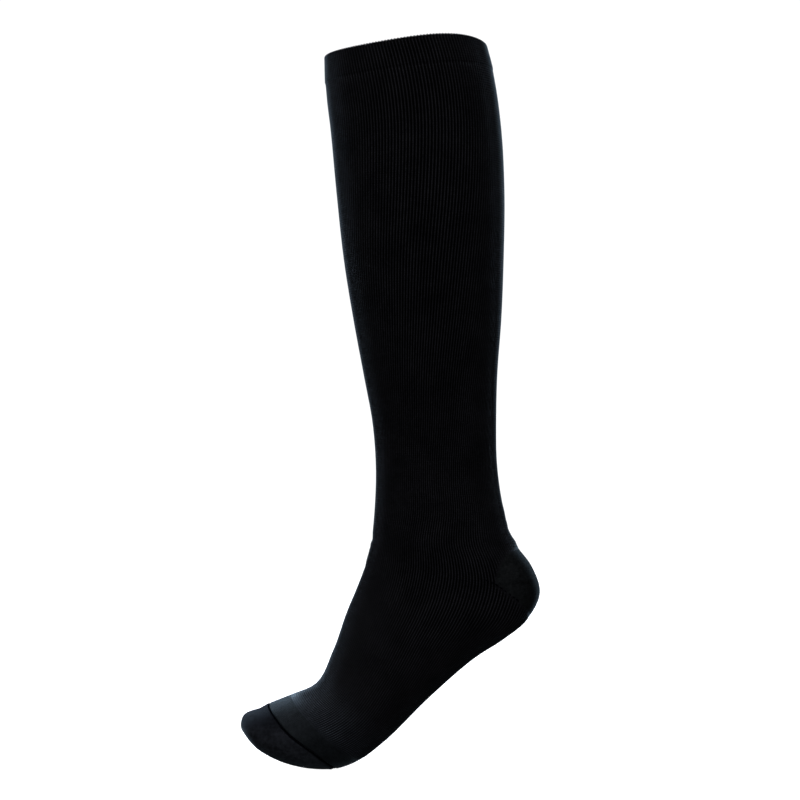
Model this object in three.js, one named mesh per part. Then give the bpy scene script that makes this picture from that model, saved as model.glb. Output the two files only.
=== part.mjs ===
// A knee-high ribbed compression stocking, filled out as it is when worn, hollow and open at the top.
// Sizes are in millimetres and angles in degrees. +Z is up, the toe points along -X and the heel is raised,
// so that the foot stands on its ball. The origin is the centre of the top opening, where the leg holds it.
import * as THREE from 'three';

// Driving sizes
const RIBS = 156;
const RIB_DEPTH = 0.5;
const WALL = 1.7;
const PLAIN_DROP = 0.15;
const BAND_PROUD = 0.45;
const BAND_WALL = 2.3;
const EDGE_ROUND = 0.9;
const SEAM_GAP = 0.3;

// The heel pocket, in ribs to each side of the back and millimetres up and down from its corners
const POCKET_RIBS = 20;
const POCKET_RISE = 21;
const POCKET_DROP = 15;
const POCKET_BLUNT = 0.3;
const RISE_BOW = 3;
const RISE_ROUND = 1 / 1.5;
const DROP_BOW = 1.2;

// How finely the pieces are divided
const PLAIN_COLUMNS = 52;
const RIBS_PER_INNER_COLUMN = 4;
const POCKET_ROWS = 4;
const ARC_STEPS = 240;
const DRIFT_STEP = 2;

// Sections across the stocking, from the top edge to the tip of the toe. x and z place the middle, tilt is the
// rise from front to back, and depth and width are the size. bias widens the back or the sole, flat flattens it,
// bow lifts the sides out of the plane, lean is how far the ribs turn from the tube's own line, and shift is
// how far they crowd to the front, as a share of the girth.
const SECTION_COLUMNS = ['at', 'x', 'z', 'tilt', 'depth', 'width', 'bias', 'flat', 'bow', 'lean', 'shift'];
const SECTIONS = [
  ['top edge', 0, 0, 3.9, 108.6, 106, 0.04, 0.04, 3.4, -11, 0],
  ['band hem', 2.4, -17.3, 4.6, 112.6, 107, 0.05, 0.04, 1.5, -5, 0],
  ['below the knee', 6.7, -49.9, 2.7, 114.0, 106, 0.07, 0.04, 0, 4, 0],
  ['upper calf', 10.1, -94.8, 2.1, 112.4, 104, 0.09, 0.05, 0, 6.5, 0],
  ['calf', 12.3, -139.7, 1.5, 107.0, 97, 0.10, 0.05, 0, 7, 0],
  ['lower calf', 14.7, -178.9, 1.2, 99.2, 85, 0.10, 0.05, 0, 6.5, 0],
  ['shin', 17.0, -219.4, 0.9, 88.8, 72, 0.07, 0.04, 0, 6, 0],
  ['lower leg', 19.2, -246.6, 0.5, 83.2, 64, 0.04, 0.02, 0, 5.5, 0],
  ['ankle', 20.9, -280.4, 0, 81.6, 59, 0, 0, 0, 4, 0],
  ['below the ankle', 22.5, -304.5, -0.8, 86.2, 59, -0.02, 0.03, 0, -2, 0],
  ['heel top', 25.8, -328.7, -2.4, 97.2, 61, -0.02, 0.10, 0, 0, 0.025],
  ['heel curve', 30.0, -338.1, -6.4, 108.8, 62, -0.01, 0.15, 0, 0, 0.035],
  ['heel corner', 32.2, -349.4, -11.1, 117.6, 63, 0, 0.20, 0, 0, 0.04],
  ['heel base', 26.7, -364.3, -15.8, 114.8, 66, 0.06, 0.22, 0, -1, 0.035],
  ['heel front', 16.7, -376.8, -17.8, 105.0, 69, 0.08, 0.20, 0, -3, 0.022],
  ['arch', 4.4, -389.9, -18.8, 92.3, 72, 0.10, 0.18, 0, -4, 0.01],
  ['instep', -16.2, -416.4, -25.6, 71.7, 80, 0.12, 0.22, 0, -3, 0],
  ['ball', -38.4, -443.2, -37.7, 59.9, 90, 0.10, 0.28, 0, -1, 0],
  ['rib end', -53.9, -452.2, -43.2, 62.5, 92, 0.06, 0.28, 0, 0, 0],
  ['toe seam', -71.3, -458.2, -44.2, 59.9, 91, 0.04, 0.24, 0, 0, 0],
  ['toe wale', -84.6, -459.1, -52.2, 47.0, 87, 0.02, 0.15, 0, 0, 0],
  ['toe round', -96.1, -457.1, -61.5, 34.1, 76, 0, 0.05, 0, 0, 0],
  ['toe end', -103.3, -454.8, -67.2, 23.8, 60, 0, 0, 0, 0, 0],
  ['toe nose', -107.2, -452.7, -70.2, 14.0, 42, 0, 0, 0, 0, 0],
  ['toe tip', -109.6, -451.6, -79.6, 5.8, 18, 0, 0, 0, 0, 0],
].map((cells) => Object.fromEntries(SECTION_COLUMNS.map((name, i) => [name, cells[i]])));

// Each section's spline values: front and back points in the side view, then its other columns
const KEYS = ['frontX', 'frontZ', 'backX', 'backZ', 'width', 'bias', 'flat', 'bow', 'lean', 'shift'];
const splineRows = SECTIONS.map((section) => {
  const tilt = THREE.MathUtils.degToRad(section.tilt);
  const halfX = (section.depth / 2) * Math.cos(tilt);
  const halfZ = (section.depth / 2) * Math.sin(tilt);
  return [
    section.x - halfX,
    section.z - halfZ,
    section.x + halfX,
    section.z + halfZ,
    ...KEYS.slice(4).map((key) => section[key]),
  ];
});

// Distance down the stocking: the mean of the ways along its front and its back
const along = [0];
for (let i = 1; i < splineRows.length; i += 1) {
  const [a, b] = [splineRows[i - 1], splineRows[i]];
  const step = (Math.hypot(b[0] - a[0], b[1] - a[1]) + Math.hypot(b[2] - a[2], b[3] - a[3])) / 2;
  along.push(along[i - 1] + step);
}
const distanceTo = (name) => along[SECTIONS.findIndex((section) => section.at === name)];
const TIP = along[along.length - 1];

// Slopes that make the spline smooth through uneven steps
const slopes = splineRows.map((row, i) => row.map((value, k) => {
  const rate = (a, b) => (splineRows[b][k] - splineRows[a][k]) / (along[b] - along[a]);
  if (i === 0) return rate(0, 1);
  if (i === splineRows.length - 1) return rate(i - 1, i);
  const before = along[i] - along[i - 1];
  const after = along[i + 1] - along[i];
  return (rate(i - 1, i) * after + rate(i, i + 1) * before) / (before + after);
}));

function splineAt(distance) {
  const d = THREE.MathUtils.clamp(distance, 0, TIP);
  let i = 0;
  while (i < along.length - 2 && along[i + 1] < d) i += 1;
  const span = along[i + 1] - along[i];
  const t = (d - along[i]) / span;
  const values = splineRows[i].map((value, k) => (
    (2 * t ** 3 - 3 * t ** 2 + 1) * value
    + (t ** 3 - 2 * t ** 2 + t) * span * slopes[i][k]
    + (-2 * t ** 3 + 3 * t ** 2) * splineRows[i + 1][k]
    + (t ** 3 - t ** 2) * span * slopes[i + 1][k]
  ));
  return Object.fromEntries(KEYS.map((key, k) => [key, values[k]]));
}

// A point on a section's outline. Angle 0 is the back or the sole, and pi the front or the top of the foot.
const BOW_PEAK = 1.69;
function outlinePoint(s, angle) {
  const c = Math.cos(angle);
  const n = Math.sin(angle);
  const reach = c + s.flat * Math.max(c, 0) ** 2 * (1 - c * c);
  const halfX = (s.backX - s.frontX) / 2;
  const halfZ = (s.backZ - s.frontZ) / 2;
  const lift = (s.bow * n * n * (1 + c) ** 2) / BOW_PEAK / Math.hypot(halfX, halfZ);
  return new THREE.Vector3(
    s.frontX + halfX * (1 + reach) - halfZ * lift,
    (-s.width / 2) * n * (1 + s.bias * c),
    s.frontZ + halfZ * (1 + reach) + halfX * lift,
  );
}

// A section with its running length round the outline, kept once it has been worked out
const sections = new Map();
function sectionAt(distance) {
  const key = distance.toFixed(4);
  if (!sections.has(key)) {
    const section = splineAt(distance);
    const lengths = [0];
    let last = outlinePoint(section, 0);
    for (let i = 1; i <= ARC_STEPS; i += 1) {
      const next = outlinePoint(section, (i / ARC_STEPS) * 2 * Math.PI);
      lengths.push(lengths[i - 1] + next.distanceTo(last));
      last = next;
    }
    sections.set(key, { ...section, lengths, girth: lengths[ARC_STEPS] });
  }
  return sections.get(key);
}

// How far the ribs have turned round the tube, as a share of the girth, measured from the pocket's corners
const SPLIT = distanceTo('heel corner');
const turns = [0];
for (let d = DRIFT_STEP; d <= TIP + DRIFT_STEP; d += DRIFT_STEP) {
  const section = sectionAt(Math.min(d - DRIFT_STEP / 2, TIP));
  const rate = Math.tan(THREE.MathUtils.degToRad(section.lean)) / section.girth;
  turns.push(turns[turns.length - 1] + rate * DRIFT_STEP);
}
function turnAt(distance) {
  const place = THREE.MathUtils.clamp(distance, 0, TIP) / DRIFT_STEP;
  const i = Math.floor(place);
  return THREE.MathUtils.lerp(turns[i], turns[i + 1], place - i);
}

// A point on the rib tops. rib runs from 0 at the back, round the side at -Y and the front, to 1 at the back.
function surfacePoint(rib, distance) {
  const section = sectionAt(distance);
  const crowd = section.shift * Math.sin(2 * Math.PI * rib);
  const share = rib + crowd + turnAt(distance) - turnAt(SPLIT);
  const length = (share - Math.floor(share)) * section.girth;
  let low = 0;
  let high = ARC_STEPS;
  while (high - low > 1) {
    const middle = (low + high) >> 1;
    if (section.lengths[middle] <= length) low = middle;
    else high = middle;
  }
  const part = (length - section.lengths[low]) / (section.lengths[high] - section.lengths[low]);
  return outlinePoint(section, ((low + part) / ARC_STEPS) * 2 * Math.PI);
}

// The same point moved out of the cloth by lift, square to the surface
const RIB_NUDGE = 1e-3;
const DISTANCE_NUDGE = 0.4;
function liftedPoint(rib, distance, lift) {
  const before = Math.max(distance - DISTANCE_NUDGE, 0);
  const after = Math.min(distance + DISTANCE_NUDGE, TIP);
  const round = surfacePoint(rib + RIB_NUDGE, distance).sub(surfacePoint(rib - RIB_NUDGE, distance));
  const down = surfacePoint(rib, after).sub(surfacePoint(rib, before));
  const out = new THREE.Vector3().crossVectors(round, down).normalize();
  return surfacePoint(rib, distance).addScaledVector(out, lift);
}

// How much distance a real gap takes at a point, since the back of the heel is longer than the front
function asDistance(gap, rib, distance) {
  const nudge = DISTANCE_NUDGE;
  const way = surfacePoint(rib, distance + nudge).distanceTo(surfacePoint(rib, distance - nudge));
  return (gap * 2 * nudge) / way;
}

// Where the ribs stand: tops on the even columns and furrows on the odd ones
const ribColumns = Array.from({ length: RIBS * 2 }, (_, i) => i / (RIBS * 2));
const furrow = (rib) => (Math.round(rib * RIBS * 2) % 2 === 0 ? 0 : RIB_DEPTH);
const plainColumns = Array.from({ length: PLAIN_COLUMNS }, (_, i) => i / PLAIN_COLUMNS);
const innerColumns = Array.from({ length: RIBS / RIBS_PER_INNER_COLUMN }, (_, i) => (
  (i * RIBS_PER_INNER_COLUMN) / RIBS
));

// The inside is as fine as the outside beside the pocket, so that both sides share its edge
const fromBack = (rib) => Math.min(rib, 1 - rib) * RIBS;
const fineInnerColumns = ribColumns.filter((rib, i) => (
  fromBack(rib) <= POCKET_RIBS + 0.01 || i % (2 * RIBS_PER_INNER_COLUMN) === 0
));

// The pocket's upper and lower edges, which meet the split between leg and foot at its two corners
function pocketTop(rib) {
  const share = Math.min(fromBack(rib) / POCKET_RIBS, 1);
  return SPLIT - POCKET_RISE * (1 - share ** RISE_BOW) ** RISE_ROUND;
}
function pocketBottom(rib) {
  const share = Math.min(fromBack(rib) / POCKET_RIBS, 1);
  return SPLIT + POCKET_DROP * (1 - share ** DROP_BOW);
}
function pastEdge(edge, rib, gap) {
  return edge(rib) + asDistance(gap, rib, edge(rib));
}

// One closed body from triangles on shared points, with its faces turned outwards
function closedMesh(name, points, triangles, material) {
  let volume = 0;
  for (const [a, b, c] of triangles) {
    volume += points[a].dot(new THREE.Vector3().crossVectors(points[b], points[c]));
  }
  const turned = volume < 0 ? triangles.map(([a, b, c]) => [a, c, b]) : triangles;
  const geometry = new THREE.BufferGeometry();
  const positions = points.flatMap((point) => point.toArray());
  geometry.setAttribute('position', new THREE.Float32BufferAttribute(positions, 3));
  geometry.setIndex(turned.flat());
  geometry.computeVertexNormals();
  const mesh = new THREE.Mesh(geometry, material);
  mesh.name = name;
  return mesh;
}

// Adds rings of points to a body and returns each ring's first index
function addRings(points, columns, rows) {
  return rows.map((row) => {
    const first = points.length;
    columns.forEach((rib) => points.push(liftedPoint(rib, row.distance(rib), row.lift(rib))));
    return first;
  });
}

function skin(triangles, starts, count, inward) {
  for (let i = 0; i < starts.length - 1; i += 1) {
    for (let j = 0; j < count; j += 1) {
      const next = (j + 1) % count;
      const [a, b, c, d] = [starts[i] + j, starts[i] + next, starts[i + 1] + next, starts[i + 1] + j];
      if (inward) triangles.push([a, c, b], [a, d, c]);
      else triangles.push([a, b, c], [a, c, d]);
    }
  }
}

// Joins an outer ring to an inner ring that may have other columns
function edgeCap(triangles, outer, inner, first) {
  let i = 0;
  let j = 0;
  const at = (ring, k) => ring.start + (k % ring.columns.length);
  const placeOf = (ring, k) => (k < ring.columns.length ? ring.columns[k] : 1);
  while (i < outer.columns.length || j < inner.columns.length) {
    const stepOuter = j >= inner.columns.length
      || (i < outer.columns.length && placeOf(outer, i + 1) <= placeOf(inner, j + 1));
    const triangle = stepOuter
      ? [at(outer, i + 1), at(outer, i), at(inner, j)]
      : [at(inner, j), at(inner, j + 1), at(outer, i)];
    triangles.push(first ? triangle : [triangle[1], triangle[0], triangle[2]]);
    if (stepOuter) i += 1;
    else j += 1;
  }
}

function pole(triangles, points, start, count, tip, inward) {
  points.push(tip);
  const top = points.length - 1;
  for (let j = 0; j < count; j += 1) {
    const next = (j + 1) % count;
    if (inward) triangles.push([start + j, top, start + next]);
    else triangles.push([start + j, start + next, top]);
  }
}

// A hollow tube, open at both ends or closed by a rounded end at its last rows
function tube(name, material, outer, inner, closed) {
  const points = [];
  const triangles = [];
  const outerStarts = addRings(points, outer.columns, outer.rows);
  const innerStarts = addRings(points, inner.columns, inner.rows);
  const ring = (side, starts, k) => ({ start: starts.at(k), columns: side.columns });
  skin(triangles, outerStarts, outer.columns.length, false);
  skin(triangles, innerStarts, inner.columns.length, true);
  edgeCap(triangles, ring(outer, outerStarts, 0), ring(inner, innerStarts, 0), true);
  if (closed) {
    pole(triangles, points, outerStarts.at(-1), outer.columns.length, closed.outerTip, false);
    pole(triangles, points, innerStarts.at(-1), inner.columns.length, closed.innerTip, true);
  } else {
    edgeCap(triangles, ring(outer, outerStarts, -1), ring(inner, innerStarts, -1), false);
  }
  return closedMesh(name, points, triangles, material);
}

const fixedRow = (distance, lift) => ({ distance: () => distance, lift });
const onRibs = (rib) => -furrow(rib);
const onPlain = () => -PLAIN_DROP;
const inside = () => -WALL;

// Finishes
const ribbedKnit = new THREE.MeshStandardMaterial({ color: '#0b0c10', roughness: 0.85, metalness: 0 });
const bandKnit = new THREE.MeshStandardMaterial({ color: '#0e0f14', roughness: 0.85, metalness: 0 });
const plainKnit = new THREE.MeshStandardMaterial({ color: '#20242c', roughness: 0.9, metalness: 0 });

// Top band: a doubled welt with a rounded top edge, ribbed like the leg
function topBand() {
  const hem = distanceTo('band hem') - SEAM_GAP / 2;
  const proud = (rib) => BAND_PROUD - furrow(rib);
  const rounded = (rib) => proud(rib) - EDGE_ROUND;
  const bandInside = () => BAND_PROUD - BAND_WALL;
  return tube(
    'top_band',
    bandKnit,
    { columns: ribColumns, rows: [fixedRow(0, rounded), fixedRow(EDGE_ROUND, proud), fixedRow(hem, proud)] },
    { columns: innerColumns, rows: [fixedRow(0, bandInside), fixedRow(hem, bandInside)] },
  );
}

// Leg: from the band's hem to the heel, with its lower edge cut round the pocket
const LEG_ROWS = ['below the knee', 'calf', 'shin', 'ankle', 'below the ankle'];
function leg() {
  const top = distanceTo('band hem') + SEAM_GAP / 2;
  const bottom = (rib) => pastEdge(pocketTop, rib, -SEAM_GAP / 2);
  const rows = (lift) => [
    fixedRow(top, lift),
    ...LEG_ROWS.map((name) => fixedRow(distanceTo(name), lift)),
    { distance: bottom, lift },
  ];
  return tube(
    'leg',
    ribbedKnit,
    { columns: ribColumns, rows: rows(onRibs) },
    { columns: fineInnerColumns, rows: rows(inside) },
  );
}

// Foot: from the heel to the ribs' end, with its upper edge cut round the pocket
const FOOT_ROWS = ['heel front', 'arch', 'instep', 'ball'];
function foot() {
  const top = (rib) => pastEdge(pocketBottom, rib, SEAM_GAP / 2);
  const bottom = distanceTo('rib end') - SEAM_GAP / 2;
  const rows = (lift) => [
    { distance: top, lift },
    ...FOOT_ROWS.map((name) => fixedRow(distanceTo(name), lift)),
    fixedRow(bottom, lift),
  ];
  return tube(
    'foot',
    ribbedKnit,
    { columns: ribColumns, rows: rows(onRibs) },
    { columns: fineInnerColumns, rows: rows(inside) },
  );
}

// Heel: a pocket of plain knit with blunt corners
function heel() {
  const halfColumns = POCKET_RIBS * 2;
  const columns = [];
  for (let j = -halfColumns; j <= halfColumns; j += 1) {
    const blunt = Math.abs(j) === halfColumns ? Math.sign(j) * POCKET_BLUNT : 0;
    columns.push((j / 2 - blunt) / RIBS);
  }
  const points = [];
  const triangles = [];
  const wrap = (rib) => (rib < 0 ? rib + 1 : rib);
  const grid = (lift) => {
    const start = points.length;
    for (let i = 0; i <= POCKET_ROWS; i += 1) {
      columns.forEach((column) => {
        const rib = wrap(column);
        const top = pastEdge(pocketTop, rib, SEAM_GAP / 2);
        const bottom = pastEdge(pocketBottom, rib, -SEAM_GAP / 2);
        points.push(liftedPoint(rib, THREE.MathUtils.lerp(top, bottom, i / POCKET_ROWS), lift));
      });
    }
    return (i, j) => start + i * columns.length + j;
  };
  const outer = grid(-PLAIN_DROP);
  const inner = grid(-WALL);
  const last = columns.length - 1;
  for (let i = 0; i < POCKET_ROWS; i += 1) {
    for (let j = 0; j < last; j += 1) {
      triangles.push([outer(i, j), outer(i, j + 1), outer(i + 1, j + 1)]);
      triangles.push([outer(i, j), outer(i + 1, j + 1), outer(i + 1, j)]);
      triangles.push([inner(i, j), inner(i + 1, j + 1), inner(i, j + 1)]);
      triangles.push([inner(i, j), inner(i + 1, j), inner(i + 1, j + 1)]);
    }
  }
  // The edge runs once round the pocket
  const border = [];
  for (let j = 0; j < last; j += 1) border.push([0, j]);
  for (let i = 0; i < POCKET_ROWS; i += 1) border.push([i, last]);
  for (let j = last; j > 0; j -= 1) border.push([POCKET_ROWS, j]);
  for (let i = POCKET_ROWS; i > 0; i -= 1) border.push([i, 0]);
  border.forEach(([i, j], k) => {
    const [m, n] = border[(k + 1) % border.length];
    triangles.push([outer(m, n), outer(i, j), inner(i, j)]);
    triangles.push([outer(m, n), inner(i, j), inner(m, n)]);
  });
  return closedMesh('heel', points, triangles, plainKnit);
}

// Toe panel: plain knit from the ribs' end to the toe seam
function toePanel() {
  const top = distanceTo('rib end') + SEAM_GAP / 2;
  const bottom = distanceTo('toe seam') - SEAM_GAP / 2;
  const rows = (lift) => [fixedRow(top, lift), fixedRow((top + bottom) / 2, lift), fixedRow(bottom, lift)];
  return tube(
    'toe_panel',
    plainKnit,
    { columns: plainColumns, rows: rows(onPlain) },
    { columns: plainColumns, rows: rows(inside) },
  );
}

// Toe cap: closed at the tip. Its inside stops short of the tip, where the walls would meet.
const TOE_ROWS = ['toe wale', 'toe round', 'toe end', 'toe nose'];
function toeCap() {
  const seam = distanceTo('toe seam') + SEAM_GAP / 2;
  const innerNames = TOE_ROWS.slice(0, -1);
  const fold = 0.6;
  const tip = surfacePoint(0.25, TIP).add(surfacePoint(0.75, TIP)).multiplyScalar(0.5);
  const middle = surfacePoint(0.25, distanceTo('toe nose')).setY(0);
  return tube(
    'toe_cap',
    plainKnit,
    {
      columns: plainColumns,
      rows: [
        fixedRow(seam, onPlain),
        ...TOE_ROWS.map((name) => fixedRow(distanceTo(name), onPlain)),
        fixedRow(TIP, () => 0),
      ],
    },
    {
      columns: plainColumns,
      rows: [fixedRow(seam, inside), ...innerNames.map((name) => fixedRow(distanceTo(name), inside))],
    },
    { outerTip: tip.add(new THREE.Vector3(-fold, 0, 0)), innerTip: middle },
  );
}

const stocking = new THREE.Group();
stocking.add(topBand(), leg(), heel(), foot(), toePanel(), toeCap());

export default stocking;
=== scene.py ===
"""The cloth of a knee-high ribbed compression stocking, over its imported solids.

Sizes are in millimetres until a mesh is made, which is in metres. +Z is up, the toe points along -X, and the
origin is the centre of the top opening. A place on the stocking is given by its rib, from 0 at the back round
the -Y side and the front to 1, and by its distance down from the top edge.
"""

import bpy
import numpy as np
from bpy.props import FloatProperty, FloatVectorProperty, IntProperty, PointerProperty
from bpy.types import Operator, Panel, PropertyGroup
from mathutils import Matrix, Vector


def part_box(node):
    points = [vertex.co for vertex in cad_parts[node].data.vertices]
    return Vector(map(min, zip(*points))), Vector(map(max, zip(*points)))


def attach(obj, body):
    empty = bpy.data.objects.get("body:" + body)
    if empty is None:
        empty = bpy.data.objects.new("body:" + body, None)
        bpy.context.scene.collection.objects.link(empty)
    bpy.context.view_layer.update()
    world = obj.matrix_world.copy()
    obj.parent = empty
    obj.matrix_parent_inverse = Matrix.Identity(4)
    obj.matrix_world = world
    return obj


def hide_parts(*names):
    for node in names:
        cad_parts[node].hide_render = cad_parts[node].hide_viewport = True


bl_info = {
    "name": "Compression stocking",
    "version": (1, 0, 0),
    "blender": (4, 5, 0),
    "location": "3D View > Sidebar > Stocking",
    "description": "Ribbed knit, turned band, heel pocket and toe of a knee-high compression stocking",
    "category": "Object",
}

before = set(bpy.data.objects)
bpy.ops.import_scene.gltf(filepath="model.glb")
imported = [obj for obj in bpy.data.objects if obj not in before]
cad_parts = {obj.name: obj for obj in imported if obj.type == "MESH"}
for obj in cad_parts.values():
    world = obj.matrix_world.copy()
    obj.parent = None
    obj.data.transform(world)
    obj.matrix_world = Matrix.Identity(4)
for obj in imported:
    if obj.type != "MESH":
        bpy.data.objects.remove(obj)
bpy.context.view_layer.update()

MM = 0.001
BODY = "root"


def linear(hex_colour):
    """An sRGB hex colour as linear red, green and blue."""
    channels = [int(hex_colour[i : i + 2], 16) / 255 for i in (1, 3, 5)]
    return [c / 12.92 if c <= 0.04045 else ((c + 0.055) / 1.055) ** 2.4 for c in channels]


# ---------------------------------------------------------------- form of the stocking

# Sections across the stocking, from the top edge to the tip of the toe. x and z place the middle, tilt is the
# rise from front to back, and depth and width are the size. bias widens the back or the sole, flat flattens
# it, bow lifts the sides out of the plane, lean is how far the ribs turn from the tube's own line, and shift
# is how far they crowd to the front, as a share of the girth.
SECTION_COLUMNS = ("at", "x", "z", "tilt", "depth", "width", "bias", "flat", "bow", "lean", "shift")
SECTIONS = [
    ("top edge", 0, 0, 3.9, 108.6, 106, 0.04, 0.04, 3.4, -11, 0),
    ("band hem", 2.4, -17.3, 4.6, 112.6, 107, 0.05, 0.04, 1.5, -5, 0),
    ("below the knee", 6.7, -49.9, 2.7, 114.0, 106, 0.07, 0.04, 0, 4, 0),
    ("upper calf", 10.1, -94.8, 2.1, 112.4, 104, 0.09, 0.05, 0, 6.5, 0),
    ("calf", 12.3, -139.7, 1.5, 107.0, 97, 0.10, 0.05, 0, 7, 0),
    ("lower calf", 14.7, -178.9, 1.2, 99.2, 85, 0.10, 0.05, 0, 6.5, 0),
    ("shin", 17.0, -219.4, 0.9, 88.8, 72, 0.07, 0.04, 0, 6, 0),
    ("lower leg", 19.2, -246.6, 0.5, 83.2, 64, 0.04, 0.02, 0, 5.5, 0),
    ("ankle", 20.9, -280.4, 0, 81.6, 59, 0, 0, 0, 4, 0),
    ("below the ankle", 22.5, -304.5, -0.8, 86.2, 59, -0.02, 0.03, 0, -2, 0),
    ("heel top", 25.8, -328.7, -2.4, 97.2, 61, -0.02, 0.10, 0, 0, 0.025),
    ("heel curve", 30.0, -338.1, -6.4, 108.8, 62, -0.01, 0.15, 0, 0, 0.035),
    ("heel corner", 32.2, -349.4, -11.1, 117.6, 63, 0, 0.20, 0, 0, 0.04),
    ("heel base", 26.7, -364.3, -15.8, 114.8, 66, 0.06, 0.22, 0, -1, 0.035),
    ("heel front", 16.7, -376.8, -17.8, 105.0, 69, 0.08, 0.20, 0, -3, 0.022),
    ("arch", 4.4, -389.9, -18.8, 92.3, 72, 0.10, 0.18, 0, -4, 0.01),
    ("instep", -16.2, -416.4, -25.6, 71.7, 80, 0.12, 0.22, 0, -3, 0),
    ("ball", -38.4, -443.2, -37.7, 59.9, 90, 0.10, 0.28, 0, -1, 0),
    ("rib end", -53.9, -452.2, -43.2, 62.5, 92, 0.06, 0.28, 0, 0, 0),
    ("toe seam", -71.3, -458.2, -44.2, 59.9, 91, 0.04, 0.24, 0, 0, 0),
    ("toe wale", -84.6, -459.1, -52.2, 47.0, 87, 0.02, 0.15, 0, 0, 0),
    ("toe round", -96.1, -457.1, -61.5, 34.1, 76, 0, 0.05, 0, 0, 0),
    ("toe end", -103.3, -454.8, -67.2, 23.8, 60, 0, 0, 0, 0, 0),
    ("toe nose", -107.2, -452.7, -70.2, 14.0, 42, 0, 0, 0, 0, 0),
    ("toe tip", -109.6, -451.6, -79.6, 5.8, 18, 0, 0, 0, 0, 0),
]
# Ribs round the tube, a rib's width in the knit's map, and how far plain knit lies below the rib tops
RIBS = 156
RIB_PITCH = 2.2
PLAIN_DROP = 0.15
# How far normals lean to the smooth form, how narrow the pale line along a crown is (partly a painted
# highlight), how ribs flatten where they crowd, and the tone, from furrow to crown, in which they run out at the
# toe and at the heel
SOFTNESS = 0.6
CROWN_EDGE = 4.5
FLATTENING = 0.9
TOE_LEVEL = 0.18
HEEL_LEVEL = 0.35

# The heel pocket, in ribs to each side of the back and millimetres up and down from its corners
POCKET_RIBS = 20
POCKET_RISE = 21
POCKET_DROP = 15


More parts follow.
